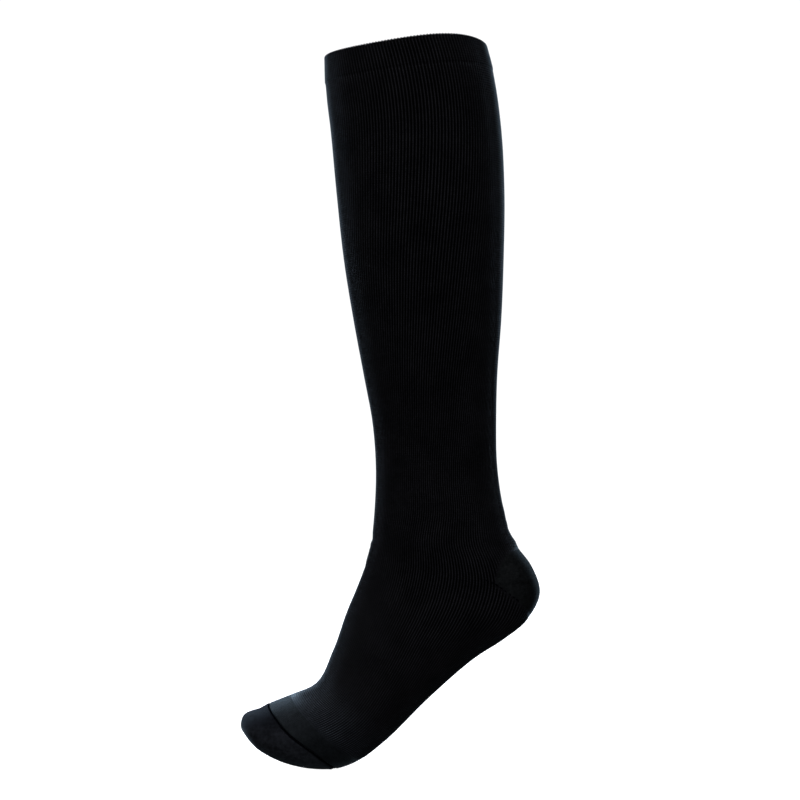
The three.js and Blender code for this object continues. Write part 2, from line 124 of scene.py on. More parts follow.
class Form:
    """The surface through the rib tops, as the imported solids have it."""

    STATION_STEP = 0.5
    ARC_STEPS = 480
    SHARE_STEPS = 960
    BOW_PEAK = 1.69

    def __init__(self):
        table = np.array([row[1:] for row in SECTIONS], float)
        x, z, tilt, depth = table[:, 0], table[:, 1], np.radians(table[:, 2]), table[:, 3]
        half_x, half_z = depth / 2 * np.cos(tilt), depth / 2 * np.sin(tilt)
        ends = [x - half_x, z - half_z, x + half_x, z + half_z]
        self.rows = np.column_stack([*ends, table[:, 4:]])
        moves = np.diff(self.rows, axis=0)
        steps = (np.hypot(moves[:, 0], moves[:, 1]) + np.hypot(moves[:, 2], moves[:, 3])) / 2
        self.along = np.concatenate([[0], np.cumsum(steps)])
        self.names = [row[0] for row in SECTIONS]
        self.tip = self.along[-1]
        self.split = self.to("heel corner")

        # Slopes that make the spline smooth through uneven steps
        rates = moves / steps[:, None]
        self.slopes = np.empty_like(self.rows)
        self.slopes[0], self.slopes[-1] = rates[0], rates[-1]
        weights = steps[:, None]
        mixed = rates[:-1] * weights[1:] + rates[1:] * weights[:-1]
        self.slopes[1:-1] = mixed / (weights[1:] + weights[:-1])

        # Each station's angle for a share of its girth, and how far the ribs have turned by then
        self.stations = np.arange(0, self.tip + self.STATION_STEP, self.STATION_STEP)
        angles = np.linspace(0, 2 * np.pi, self.ARC_STEPS + 1)
        outlines = self.outline(self.section(self.stations[:, None]), angles[None])
        arcs = np.linalg.norm(np.diff(outlines, axis=1), axis=2)
        lengths = np.concatenate([np.zeros((len(arcs), 1)), np.cumsum(arcs, axis=1)], axis=1)
        self.girths = lengths[:, -1]
        shares = np.linspace(0, 1, self.SHARE_STEPS + 1)
        self.angles = np.array([
            np.interp(shares * run[-1], run, angles) for run in lengths
        ])
        lean = self.section(self.stations)["lean"]
        rates = np.tan(np.radians(lean)) / self.girths
        turned = np.cumsum((rates[1:] + rates[:-1]) / 2 * self.STATION_STEP)
        self.turns = np.concatenate([[0], turned])
        self.turns -= np.interp(self.split, self.stations, self.turns)

    def to(self, name):
        """The distance down to a named section."""
        return float(self.along[self.names.index(name)])

    def section(self, distance):
        """The values of the section at a distance, or at an array of them."""
        d = np.clip(distance, 0, self.tip)
        i = np.clip(np.searchsorted(self.along, d, "right") - 1, 0, len(self.along) - 2)
        span = self.along[i + 1] - self.along[i]
        t = ((d - self.along[i]) / span)[..., None]
        span = span[..., None]
        values = (
            (2 * t**3 - 3 * t**2 + 1) * self.rows[i]
            + (t**3 - 2 * t**2 + t) * span * self.slopes[i]
            + (3 * t**2 - 2 * t**3) * self.rows[i + 1]
            + (t**3 - t**2) * span * self.slopes[i + 1]
        )
        keys = ("front_x", "front_z", "back_x", "back_z", *SECTION_COLUMNS[5:])
        return {key: values[..., k] for k, key in enumerate(keys)}

    def outline(self, s, angle):
        """Points on sections at an angle: 0 is the back or the sole, pi the front or the top of the foot."""
        c, n = np.cos(angle), np.sin(angle)
        reach = c + s["flat"] * np.maximum(c, 0) ** 2 * (1 - c * c)
        half_x = (s["back_x"] - s["front_x"]) / 2
        half_z = (s["back_z"] - s["front_z"]) / 2
        lift = s["bow"] * n * n * (1 + c) ** 2 / self.BOW_PEAK / np.hypot(half_x, half_z)
        return np.stack(
            [
                s["front_x"] + half_x * (1 + reach) - half_z * lift,
                -s["width"] / 2 * n * (1 + s["bias"] * c),
                s["front_z"] + half_z * (1 + reach) + half_x * lift,
            ],
            axis=-1,
        )

    def point(self, rib, distance):
        """Points on the rib tops."""
        rib, distance = np.broadcast_arrays(rib, np.clip(distance, 0, self.tip))
        s = self.section(distance)
        share = rib + s["shift"] * np.sin(2 * np.pi * rib)
        share = share + np.interp(distance, self.stations, self.turns)
        across = (share - np.floor(share)) * self.SHARE_STEPS
        down = distance / self.STATION_STEP
        i = np.clip(down.astype(int), 0, len(self.stations) - 2)
        j = np.clip(across.astype(int), 0, self.SHARE_STEPS - 1)
        a, b = down - i, across - j
        upper = self.angles[i, j] * (1 - b) + self.angles[i, j + 1] * b
        lower = self.angles[i + 1, j] * (1 - b) + self.angles[i + 1, j + 1] * b
        return self.outline(s, upper * (1 - a) + lower * a)

    def lifted(self, rib, distance, lift):
        """The same points moved out of the cloth by lift, square to the surface, and the way out."""
        rib, distance = np.broadcast_arrays(rib, np.asarray(distance, float))
        across = self.point(rib + 1e-3, distance) - self.point(rib - 1e-3, distance)
        down = self.point(rib, distance + 0.4) - self.point(rib, distance - 0.4)
        out = np.cross(across, down)
        out /= np.linalg.norm(out, axis=-1, keepdims=True)
        return self.point(rib, distance) + out * np.asarray(lift)[..., None], out


form = Form()


def smooth(value, start, end):
    """0 up to start, 1 from end on, and a soft rise between."""
    t = np.clip((value - start) / (end - start), 0, 1)
    return t * t * (3 - 2 * t)


def from_back(rib):
    """Ribs from the middle of the back, on either side."""
    rib = np.mod(rib, 1)
    return np.minimum(rib, 1 - rib) * RIBS


def pocket_top(rib):
    share = np.minimum(from_back(rib) / POCKET_RIBS, 1)
    return form.split - POCKET_RISE * (1 - share**3) ** (1 / 1.5)


def pocket_bottom(rib):
    share = np.minimum(from_back(rib) / POCKET_RIBS, 1)
    return form.split + POCKET_DROP * (1 - share**1.2)


# Creases and swells of the filled-out cloth. rib and distance place the middle, reach is half the length in
# ribs, half_width is across the fold, lift is its height, and slant how far it drops from rib to rib.
CREASE_COLUMNS = ("rib", "distance", "reach", "half_width", "lift", "slant")
CREASES = [
    # above the heel pocket, where the cloth gathers at the back
    (1, 329.5, 13, 3.4, 0.75, 0.10),
    (-2, 321.5, 9, 2.6, -0.40, -0.15),
    (150, 312.0, 10, 3.4, -0.30, 0.30),
    (6, 303.0, 8, 3.0, -0.22, -0.30),
    # across the bend at the front of the ankle
    (78, 331.0, 18, 4.5, -0.55, 0.05),
    (72, 344.0, 13, 4.0, -0.45, -0.25),
    (86, 352.0, 12, 4.5, -0.40, 0.25),
    (79, 365.0, 9, 4.0, -0.28, -0.10),
    (66, 322.0, 9, 3.5, -0.25, -0.35),
    (92, 318.0, 8, 3.5, -0.25, 0.30),
    # below the band
    (22, 27.0, 15, 5.5, -0.32, 0.06),
    (60, 30.5, 12, 5.0, -0.28, -0.05),
    (96, 26.0, 14, 5.5, -0.30, 0.04),
    (134, 31.0, 12, 5.0, -0.26, -0.06),
    # along the side of the foot and round the ball
    (36, 405.0, 9, 5.0, -0.25, 0.55),
    (120, 409.0, 9, 5.0, -0.25, -0.55),
    (48, 452.0, 10, 5.5, -0.22, 0.30),
    (108, 455.0, 10, 5.5, -0.22, -0.30),
]


def creases(rib, distance):
    """The lift of all creases together, in millimetres."""
    lift = np.zeros(np.broadcast(rib, distance).shape)
    for row in CREASES:
        fold = dict(zip(CREASE_COLUMNS, row))
        ribs_off = np.mod(rib * RIBS - fold["rib"] + RIBS / 2, RIBS) - RIBS / 2
        along = np.clip(1 - (ribs_off / fold["reach"]) ** 2, 0, 1)
        off = (distance - fold["distance"] - fold["slant"] * ribs_off) / fold["half_width"]
        lift = lift + fold["lift"] * along**1.5 * np.exp(-off * off * 1.6)
    return lift


# ---------------------------------------------------------------- settings


def length_setting(name, description, millimetres):
    """A length, given in millimetres."""
    return FloatProperty(
        name=name, description=description, default=millimetres * MM, unit="LENGTH", precision=5
    )


def colour_setting(name, description, hex_colour):
    """A yarn's colour, given in sRGB."""
    return FloatVectorProperty(
        name=name, description=description, default=linear(hex_colour), subtype="COLOR", size=3, min=0, max=1
    )


class StockingSizes(PropertyGroup):
    """Sizes of the stocking's cloth."""

    rib_depth: length_setting("Rib depth", "How far the ribs stand out of the furrows", 0.65)
    rib_width: FloatProperty(
        name="Rib width",
        description="Share of the pitch that a rib's crown takes",
        default=0.5,
        min=0.2,
        max=0.9,
        subtype="FACTOR",
    )
    cloth: length_setting("Cloth thickness", "Thickness of the cloth from rib top to inside", 1.2)
    band_proud: length_setting("Band height", "How far the doubled top band stands proud of the leg", 0.3)
    seam_roll: length_setting("Toe seam depth", "How far the edges of the toe seam roll inwards", 1.1)
    stitch: length_setting("Seam stitch", "Distance from one stitch of the toe seam to the next", 1.3)
    gore_stitch: length_setting("Gore stitch", "Distance from one loop to the next at the heel's edge", 3.3)
    rows: IntProperty(
        name="Rows", description="Rows of faces down the ribbed cloth", default=88, min=40, max=92
    )


class StockingColours(PropertyGroup):
    """Colours of the stocking's yarns."""

    # The near-black furrow yarn is partly painted shade, and the paler crown yarn partly a painted highlight.
    rib: colour_setting("Ribs", "Yarn on the crown of a rib", "#161619")
    furrow: colour_setting("Furrows", "Yarn between the ribs", "#010101")
    heel: colour_setting("Heel", "Plain knit of the heel pocket", "#0b0c0d")
    toe: colour_setting("Toe", "Plain knit of the toe", "#0c0e10")
    slate: colour_setting("Slate ribs", "Paler yarn on the ribs beside the toe", "#2c3036")
    cap: colour_setting("Toe cap", "Plain knit beyond the toe seam", "#1b1d21")
    thread: colour_setting("Thread", "Sewing thread of the seams", "#010102")


# ---------------------------------------------------------------- materials


def add(tree, kind, inputs=None, **settings):
    """Adds a node with its settings; an input is a value, or a socket to link."""
    made = tree.nodes.new(kind)
    for name, value in settings.items():
        setattr(made, name, value)
    for key, value in (inputs or {}).items():
        if isinstance(value, bpy.types.NodeSocket):
            tree.links.new(value, made.inputs[key])
        else:
            made.inputs[key].default_value = value
    return made


def new_material(name):
    material = bpy.data.materials.new(name)
    material.use_nodes = True
    material.node_tree.nodes.clear()
    return material


BLOOM = linear("#d3eeff")

# The relief, width and height of a stitch, in millimetres
RIB_STITCH = (0.07, RIB_PITCH, 1.5)
PLAIN_STITCH = (0.05, 1.1, 0.9)


def knit_material(name, low, high, plain, stitch, sheen, mottle):
    """Matt nylon and elastane knit. low is the yarn in the furrows and high the yarn on the crowns, and the
    dark low yarn is partly painted shade.

    The map runs in ribs across and millimetres down. The fibres' fine nap blooms bluish where the cloth turns
    away, and there is no gloss. plain is the yarn where the ribs run out, and mottle how uneven it looks.
    """
    stitch_height, wale, course = stitch
    material = new_material(name)
    tree = material.node_tree
    place = add(tree, "ShaderNodeUVMap", uv_map="knit")
    parts = add(tree, "ShaderNodeSeparateXYZ", {0: place.outputs["UV"]})
    ribs, down = parts.outputs["X"], parts.outputs["Y"]

    # Each stitch is a V: its legs lean in towards the middle of the wale
    wales = add(tree, "ShaderNodeMath", {0: ribs, 1: RIB_PITCH / wale}, operation="MULTIPLY")
    part = add(tree, "ShaderNodeMath", {0: wales.outputs[0]}, operation="FRACT")
    off = add(tree, "ShaderNodeMath", {0: part.outputs[0], 1: 0.5}, operation="SUBTRACT")
    side = add(tree, "ShaderNodeMath", {0: off.outputs[0]}, operation="ABSOLUTE")
    courses = add(tree, "ShaderNodeMath", {0: down, 1: 1 / course}, operation="MULTIPLY")
    leaning = add(
        tree, "ShaderNodeMath", {0: side.outputs[0], 1: -1.1, 2: courses.outputs[0]}, operation="MULTIPLY_ADD"
    )
    turns = add(tree, "ShaderNodeMath", {0: leaning.outputs[0], 1: 2 * np.pi}, operation="MULTIPLY")
    loops = add(tree, "ShaderNodeMath", {0: turns.outputs[0]}, operation="SINE")
    notch = add(tree, "ShaderNodeMapRange", {0: side.outputs[0], 1: 0.34, 2: 0.5, 3: 0.0, 4: -1.4})
    height = add(tree, "ShaderNodeMath", {0: loops.outputs[0], 1: notch.outputs[0]}, operation="ADD")

    # Yarn is uneven: slow changes of tone, and single loops that catch more light
    spot = add(tree, "ShaderNodeTexCoord")
    patches = add(
        tree,
        "ShaderNodeTexNoise",
        {"Vector": spot.outputs["Object"], "Scale": 55.0, "Detail": 3.0, "Roughness": 0.6},
    )
    grain = add(
        tree,
        "ShaderNodeTexNoise",
        {"Vector": spot.outputs["Object"], "Scale": 900.0, "Detail": 2.0, "Roughness": 0.7},
    )
    mixed = add(
        tree,
        "ShaderNodeMath",
        {0: grain.outputs[0], 1: 0.65, 2: patches.outputs[0]},
        operation="MULTIPLY_ADD",
    )
    tone = add(tree, "ShaderNodeMapRange", {0: mixed.outputs[0], 1: 0.5, 2: 1.15, 3: 0.6, 4: 1.4})
    clumps = add(
        tree,
        "ShaderNodeTexNoise",
        {"Vector": spot.outputs["Object"], "Scale": 420.0, "Detail": 2.0, "Roughness": 0.6},
    )
    clumped = add(
        tree,
        "ShaderNodeMapRange",
        {0: clumps.outputs[0], 1: 0.35, 2: 0.65, 3: 1 - 0.5 * mottle, 4: 1 + 0.5 * mottle},
    )
    uneven = add(tree, "ShaderNodeMath", {0: tone.outputs[0], 1: clumped.outputs[0]}, operation="MULTIPLY")

    crown = add(tree, "ShaderNodeAttribute", attribute_name="crown", attribute_type="GEOMETRY")
    bare = add(tree, "ShaderNodeAttribute", attribute_name="bare", attribute_type="GEOMETRY")
    raised = add(
        tree,
        "ShaderNodeMix",
        {0: bare.outputs["Fac"], 6: (*high, 1), 7: (*plain, 1)},
        data_type="RGBA",
    )
    yarn = add(
        tree,
        "ShaderNodeMix",
        {0: crown.outputs["Fac"], 6: (*low, 1), 7: raised.outputs[2]},
        data_type="RGBA",
    )
    # Painted shade: the spaces between the loops are darker than the loops, by the stitches' height.
    painted_gap_shade = add(tree, "ShaderNodeMapRange", {0: height.outputs[0], 1: -1.6, 2: 0.9, 3: 0.62, 4: 1.14})
    shade = add(tree, "ShaderNodeMath", {0: uneven.outputs[0], 1: painted_gap_shade.outputs[0]}, operation="MULTIPLY")
    toned = add(
        tree, "ShaderNodeVectorMath", {0: yarn.outputs[2], 3: shade.outputs[0]}, operation="SCALE"
    )
    relief = add(
        tree,
        "ShaderNodeMath",
        {0: grain.outputs[0], 1: 0.35, 2: height.outputs[0]},
        operation="MULTIPLY_ADD",
    )
    bump = add(
        tree,
        "ShaderNodeBump",
        {"Strength": 0.5, "Distance": stitch_height * MM, "Height": relief.outputs[0]},
    )
    cloth = add(
        tree,
        "ShaderNodeBsdfPrincipled",
        {
            "Base Color": toned.outputs[0],
            "Roughness": 0.92,
            "IOR": 1.53,
            "Specular IOR Level": 0.0,
            "Sheen Weight": sheen,
            "Sheen Roughness": 0.31,
            "Sheen Tint": (*BLOOM, 1),
            "Normal": bump.outputs[0],
        },
    )
    add(tree, "ShaderNodeOutputMaterial", {"Surface": cloth.outputs[0]})
    return material


def thread_material(name, colour):
    """Spun polyester sewing thread: matt, with a fine twist."""
    material = new_material(name)
    tree = material.node_tree
    spot = add(tree, "ShaderNodeTexCoord")
    twist = add(
        tree,
        "ShaderNodeTexNoise",
        {"Vector": spot.outputs["Object"], "Scale": 2400.0, "Detail": 2.0},
    )
    bump = add(
        tree,
        "ShaderNodeBump",
        {"Strength": 0.5, "Distance": 0.05 * MM, "Height": twist.outputs[0]},
    )
    thread = add(
        tree,
        "ShaderNodeBsdfPrincipled",
        {
            "Base Color": (*colour, 1),
            "Roughness": 0.8,
            "IOR": 1.55,
            "Specular IOR Level": 0.0,
            "Normal": bump.outputs[0],
        },
    )
    add(tree, "ShaderNodeOutputMaterial", {"Surface": thread.outputs[0]})
    return material


# ---------------------------------------------------------------- meshes


class Cloth:
    """A mesh in the making: points in millimetres, faces, and each point's place in the knit."""

    def __init__(self):
        self.points, self.knit, self.crown, self.bare, self.even, self.faces = [], [], [], [], [], []
        self.count = 0

    def add_points(self, points, rib, distance, crown, bare=0, joins=()):
        """Adds a grid of points and returns their numbers in the same shape.

        joins are the rows where the cloth meets the next piece, so that no edge shows in its shading.
        """
        shape = points.shape[:-1]
        rib, distance, crown, bare = (np.broadcast_to(a, shape) for a in (rib, distance, crown, bare))
        even = np.zeros(shape)
        for row in joins:
            even[row] = 1
        self.even.append(even.ravel())
        self.points.append(points.reshape(-1, 3))
        self.knit.append(np.column_stack([rib.ravel() * RIBS, distance.ravel()]))
        self.crown.append(crown.ravel())
        self.bare.append(bare.ravel())
        numbers = self.count + np.arange(int(np.prod(shape))).reshape(shape)
        self.count += numbers.size
        return numbers

    def skin(self, numbers, outside=True, around=True):
        """Quads over a grid of point numbers whose rows run down and whose columns run round."""
        grid = np.column_stack([numbers, numbers[:, :1]]) if around else numbers
        a, b, c, d = grid[:-1, :-1], grid[:-1, 1:], grid[1:, 1:], grid[1:, :-1]
        corners = [a, d, c, b] if outside else [a, b, c, d]
        quads = np.stack(corners, axis=-1).reshape(-1, 4)
        for quad in quads.tolist():
            kept = [n for k, n in enumerate(quad) if n != quad[k - 1]]
            if len(kept) > 2:
                self.faces.append(kept)

    def rim(self, outer, inner, fine, up):
        """Closes the edge between an outer line of points and an inner one with fine times fewer."""
        for k in range(len(inner) - 1):
            run = [int(n) for n in outer[k * fine : k * fine + fine + 1]]
            face = [*run, int(inner[k + 1]), int(inner[k])]
            self.faces.append(face if up else face[::-1])

    def drop_unused(self):
        """Leaves out the points that no face uses."""
        used = np.unique(np.concatenate([np.array(face) for face in self.faces]))
        numbers = np.full(self.count, -1)
        numbers[used] = np.arange(len(used))
        for name in ("points", "knit", "crown", "bare", "even"):
            setattr(self, name, [np.concatenate(getattr(self, name))[used]])
        self.faces = [[int(numbers[n]) for n in face] for face in self.faces]
        self.count = len(used)

    def soften(self, mesh):
        """Leans the normals towards the smooth form, because soft yarn scatters light past its own ribs."""
        own = np.empty(len(mesh.vertices) * 3)
        mesh.vertex_normals.foreach_get("vector", own)
        own = own.reshape(-1, 3)
        knit = np.concatenate(self.knit)
        smooth_way = form.lifted(knit[:, 0] / RIBS, np.clip(knit[:, 1], 0.5, form.tip - 1.5), 0.0)[1]
        agree = np.sum(own * smooth_way, axis=1)
        way = np.sign(agree)[:, None] * smooth_way
        # Rims and the fold at the top keep their own normals
        share = np.maximum(SOFTNESS * smooth(np.abs(agree), 0.5, 0.8), np.concatenate(self.even))[:, None]
        mixed = own * (1 - share) + way * share
        mixed /= np.linalg.norm(mixed, axis=1, keepdims=True)
        mesh.normals_split_custom_set_from_vertices(mixed.tolist())

    def finish(self, name, material, nodes):
        """Makes the object, with smooth faces, and hands it to the frame."""
        mesh = bpy.data.meshes.new(name)
        points = np.concatenate(self.points) * MM
        mesh.from_pydata(points.tolist(), [], self.faces)
        knit = np.concatenate(self.knit)
        corners = np.empty(len(mesh.loops), int)
        mesh.loops.foreach_get("vertex_index", corners)
        layer = mesh.uv_layers.new(name="knit")
        placed = knit[corners]
        totals = np.array([len(face) for face in self.faces])
        owner = np.repeat(np.arange(len(totals)), totals)
        widest = np.full(len(totals), -np.inf)
        np.maximum.at(widest, owner, placed[:, 0])
        # A face that crosses the back runs on past the last rib
        placed[:, 0] += np.where(widest[owner] - placed[:, 0] > RIBS / 2, RIBS, 0)
        layer.data.foreach_set("uv", placed.ravel())
        for label in ("crown", "bare"):
            values = np.concatenate(getattr(self, label)).astype(float)
            mesh.attributes.new(label, "FLOAT", "POINT").data.foreach_set("value", values)
        mesh.polygons.foreach_set("use_smooth", [True] * len(mesh.polygons))
        mesh.materials.append(material)
        mesh.update()
        if mesh.validate():
            raise RuntimeError(f"{name} has faces that Blender had to repair")
        self.soften(mesh)
        piece = bpy.data.objects.new(name, mesh)
        bpy.context.scene.collection.objects.link(piece)
        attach(piece, BODY)
        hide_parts(*nodes)
        return piece


FINE = 6
COLUMNS = np.arange(RIBS * FINE) / (RIBS * FINE)
INNER_COLUMNS = np.arange(RIBS) / RIBS


def closed(line):
    """A line of point numbers round the tube, with the first one again at its end."""
    return np.append(line, line[0])


def rib_shape(rib, width):
    """1 on the crown of a rib and 0 in the furrow, with rounded shoulders."""
    off = np.abs(np.mod(rib * RIBS + 0.5, 1) - 0.5) * 2
    return 1 - smooth(off, width * 0.25, width + 0.28)


def toe_fade(rib, distance):
    """1 where the ribs are whole, falling to 0 at their end beside the toe, over a longer run on top."""
    on_top = (1 - np.cos(2 * np.pi * rib)) / 2
    return smooth(form.to("rib end") - distance, 0, 3.5 + 12 * on_top**3)


def slate(rib, distance):
    """How far the paler yarn of the toe shows on the ribs: it thins out over a few centimetres."""
    on_top = (1 - np.cos(2 * np.pi * rib)) / 2
    reach = 1 - smooth(form.to("rib end") - distance, -4, 34 + 12 * on_top**2)
    # Along the sole the paler yarn is held back: painted shade on the underside.
    return reach * (0.15 + 0.85 * smooth(from_back(rib), 16, 42))


def rib_fade(rib, distance):
    """How much of the rib's relief is left: it sinks into the plain knit at the pocket and towards the toe."""
    back = from_back(rib)
    near = np.minimum(
        np.where(distance <= form.split + 1e-6, pocket_top(rib) - distance, 1e3),
        np.where(distance >= form.split - 1e-6, distance - pocket_bottom(rib), 1e3),
    )
    pocket = np.where(back <= POCKET_RIBS + 1e-6, smooth(near, 0, 3.0), 1)
    return pocket * toe_fade(rib, distance)


def ribbed(rib, distance, sizes):
    """Lift and crown of the ribbed cloth's outside. Ribs are flatter where they are closer together."""
    fade = rib_fade(rib, distance)
    shape = rib_shape(rib, sizes.rib_width)
    pitch = np.interp(distance, form.stations, form.girths) / form.girths.max()
    depth = sizes.rib_depth / MM * pitch**FLATTENING
    lift = -depth * (1 - shape) * fade - PLAIN_DROP * (1 - fade)
    level = np.where(distance > form.to("instep"), TOE_LEVEL, HEEL_LEVEL)
    # The crown tone is partly painted: painted shade in the furrows and a painted highlight along each crown.
    return lift + creases(rib, distance), shape**CROWN_EDGE * fade + level * (1 - fade)


def spaced(start, end, count, crowding):
    """Distances from start to end, crowded where crowding, a function of distance, is high."""
    fine = np.linspace(start, end, 2000)
    weight = np.cumsum(crowding(fine))
    weight = (weight - weight[0]) / (weight[-1] - weight[0])
    return np.interp(np.linspace(0, 1, count), weight, fine)


class StockingOperator(Operator):
    """Shared by all steps."""

    bl_options = {"REGISTER", "UNDO"}


class STOCKING_OT_ribbed_cloth(StockingOperator):
    """Knit the ribbed cloth of leg and foot, in one piece round the heel pocket"""

    bl_idname = "stocking.ribbed_cloth"
    bl_label = "Ribbed cloth"

    POCKET_REACH = 75

    def grids(self, columns, leg_rows, foot_rows, lifted):
        """Grids of leg and foot, which share the points beyond the pocket's corners."""
        cloth = self.cloth
        base = leg_rows[:, None]
        pull = smooth(base, form.split - self.POCKET_REACH, form.split)
        distance = base + (pocket_top(columns)[None] - form.split) * pull
        points, crown, bare = lifted(columns[None], distance)
        leg = cloth.add_points(points, columns[None], distance, crown, bare, joins=[-1])
        base = foot_rows[:, None]
        pull = 1 - smooth(base, form.split, form.split + self.POCKET_REACH)
        distance = base + (pocket_bottom(columns)[None] - form.split) * pull
        points, crown, bare = lifted(columns[None], distance)
        foot = cloth.add_points(points, columns[None], distance, crown, bare, joins=[0, -1])
        shared = from_back(columns) >= POCKET_RIBS - 1e-6
        foot[0, shared] = leg[-1, shared]
        return leg, foot

    def execute(self, context):
        sizes = context.scene.stocking_sizes
        colours = context.scene.stocking_colours
        self.cloth = cloth = Cloth()
        thickness = sizes.cloth / MM
        hem = form.to("band hem") - 1.5
        end = form.to("rib end")

        def crowding(d):
            return 0.55 + 1.6 * np.exp(-(((d - form.split) / 38) ** 2)) + 0.5 * smooth(d, 380, 480)

        leg_share = 0.66
        leg_count = int(sizes.rows * leg_share)
        foot_count = sizes.rows - leg_count

        def outside(rib, distance):
            lift, crown = ribbed(rib, distance, sizes)
            return form.lifted(rib, distance, lift)[0], crown, slate(rib, distance)

        def inside(rib, distance):
            lift = creases(rib, distance) - thickness
            return form.lifted(rib, distance, lift)[0], 0.3, 0

        leg, foot = self.grids(
            COLUMNS,
            spaced(hem, form.split, leg_count, crowding),
            spaced(form.split, end, foot_count, crowding),
            outside,
        )
        leg_in, foot_in = self.grids(
            INNER_COLUMNS,
            spaced(hem, form.split, 30, crowding),
            spaced(form.split, end, 18, crowding),
            inside,
        )
        for grid in (leg, foot):
            cloth.skin(grid)
        for grid in (leg_in, foot_in):
            cloth.skin(grid, outside=False)
        cloth.rim(closed(leg[0]), closed(leg_in[0]), FINE, True)
        cloth.rim(closed(foot[-1]), closed(foot_in[-1]), FINE, False)

        def around(line, fine):
            """The part of a line from one corner of the pocket over the back to the other."""
            return np.roll(line, POCKET_RIBS * fine)[: 2 * POCKET_RIBS * fine + 1]

        cloth.rim(around(leg[-1], FINE), around(leg_in[-1], 1), FINE, False)
        cloth.rim(around(foot[0], FINE), around(foot_in[0], 1), FINE, True)
        cloth.drop_unused()
        material = knit_material(
            "ribbed nylon knit", colours.furrow, colours.rib, colours.slate, RIB_STITCH, sheen=0.075, mottle=0.3
        )
        piece = cloth.finish("ribbed_cloth", material, ["leg", "foot"])
        return {"FINISHED"}


class STOCKING_OT_top_band(StockingOperator):
    """Turn the top of the leg over into a doubled band"""

    bl_idname = "stocking.top_band"
    bl_label = "Top band"

    def execute(self, context):
        sizes = context.scene.stocking_sizes
        colours = context.scene.stocking_colours
        proud = sizes.band_proud / MM
        depth = sizes.rib_depth / MM
        hem = form.to("band hem")
        wall = 2.1
        # The fold from the hem up the outside, over the top edge and down the inside: distance, then lift
        # of a rib top, then how much rib is left
        turn = np.linspace(0, np.pi, 9)
        edge = wall / 2
        outer = [
            (hem + 0.35, -0.9, 0.5),
            (hem + 0.25, -0.3, 0.8),
            (hem - 0.2, proud * 0.55, 1),
            (hem - 0.9, proud, 1),
            *((d, proud, 1) for d in (hem - 2.5, 12.5, 9.5, 6.5, 4.0, 2.4)),
        ]
        over = [(edge - edge * np.sin(a), proud - edge + edge * np.cos(a), 1) for a in turn]
        inner = [(d, proud - wall, 1) for d in (2.4, 5.0, 9.0, 13.0, hem - 0.4)]
        profile = np.array([*outer, *over, *inner])
        distance = profile[:, :1] + 0 * COLUMNS[None]
        shape = rib_shape(COLUMNS, sizes.rib_width)[None]
        cloth = Cloth()
        lift = profile[:, 1:2] + creases(COLUMNS[None], distance)
        # The ribs' furrows go in towards the middle of the fold, on both faces
        facing = np.concatenate([np.ones(len(outer)), np.cos(turn), -np.ones(len(inner))])[:, None]
        lift = lift - depth * (1 - shape) * profile[:, 2:3] * facing
        points = form.lifted(COLUMNS[None], distance, lift)[0]
        top = np.concatenate([np.zeros(len(outer)), np.sin(turn), np.zeros(len(inner))])[:, None]
        points[..., 2] -= depth * (1 - shape) * top
        # The fourth power of what rib is left darkens the rows at the hem: painted shade in the hem's groove.
        crown = shape**CROWN_EDGE * profile[:, 2:3] ** 4
        numbers = cloth.add_points(points, COLUMNS[None], distance, crown)
        cloth.skin(numbers[::-1])
        # A last strip closes the fold out of sight, between leg and lining
        ends = np.stack([numbers[0], numbers[-1]])
        cloth.skin(ends[::-1])
        material = knit_material(
            "doubled welt knit", colours.furrow, colours.rib, colours.rib, RIB_STITCH, sheen=0.075, mottle=0.3
        )
        piece = cloth.finish("band_cloth", material, ["top_band"])
        return {"FINISHED"}


class STOCKING_OT_heel_pocket(StockingOperator):
    """Knit the plain heel pocket"""

    bl_idname = "stocking.heel_pocket"
    bl_label = "Heel pocket"

    ROWS = 44

    def execute(self, context):
        sizes = context.scene.stocking_sizes
        colours = context.scene.stocking_colours
        thickness = sizes.cloth / MM
        cloth = Cloth()
        sides = np.arange(-POCKET_RIBS * FINE, POCKET_RIBS * FINE + 1) / (RIBS * FINE)
        rib = np.mod(sides, 1)
        part = np.linspace(0, 1, self.ROWS)[:, None]
        distance = pocket_top(rib)[None] * (1 - part) + pocket_bottom(rib)[None] * part
        share = np.minimum(from_back(rib) / POCKET_RIBS, 1)[None]
        # The pocket is a little full in its middle and drawn in along the line from corner to corner
        fullness = 0.35 * np.sin(np.pi * part) * (1 - share**2)
        line = form.split - 4.5 * (1 - share**2)
        gore = -0.15 * np.exp(-(((distance - line) / 0.8) ** 2)) * smooth(share, -0.3, 0.7)
        gore = gore * smooth(1 - share, 0, 0.05) * np.sin(np.pi * part) ** 0.5
        fold = creases(rib[None], distance)
        out = -PLAIN_DROP + fold + fullness + gore
        # Painted shade darkens the knit down the back and along the drawn-in gore line.
        crown = 1 + gore * 2 - 0.75 * (1 - smooth(from_back(rib)[None], 3, 15))
        grids = []
        for lift in (out, fold - thickness + fullness):
            points = form.lifted(rib[None], distance, lift)[0]
            numbers = cloth.add_points(points, sides[None], distance, crown, joins=[0, -1])
            numbers[:, 0], numbers[:, -1] = numbers[0, 0], numbers[0, -1]
            grids.append(numbers)
        cloth.skin(grids[0], around=False)
        cloth.skin(grids[1], outside=False, around=False)
        cloth.rim(grids[0][0], grids[1][0], 1, True)
        cloth.rim(grids[0][-1], grids[1][-1], 1, False)
        cloth.drop_unused()
        material = knit_material(
            "plain heel knit", colours.furrow, colours.heel, colours.heel, PLAIN_STITCH, sheen=0.025, mottle=0.6
        )
        piece = cloth.finish("heel_cloth", material, ["heel"])
        return {"FINISHED"}


def seam_line(rib):
    """The toe seam's distance: it bows back towards the leg along both sides of the foot."""
    ribs = from_back(rib)
    return form.to("toe seam") - 1.6 - 3.1 * (1 - smooth(ribs, 34, 52)) * smooth(ribs, 4, 26)


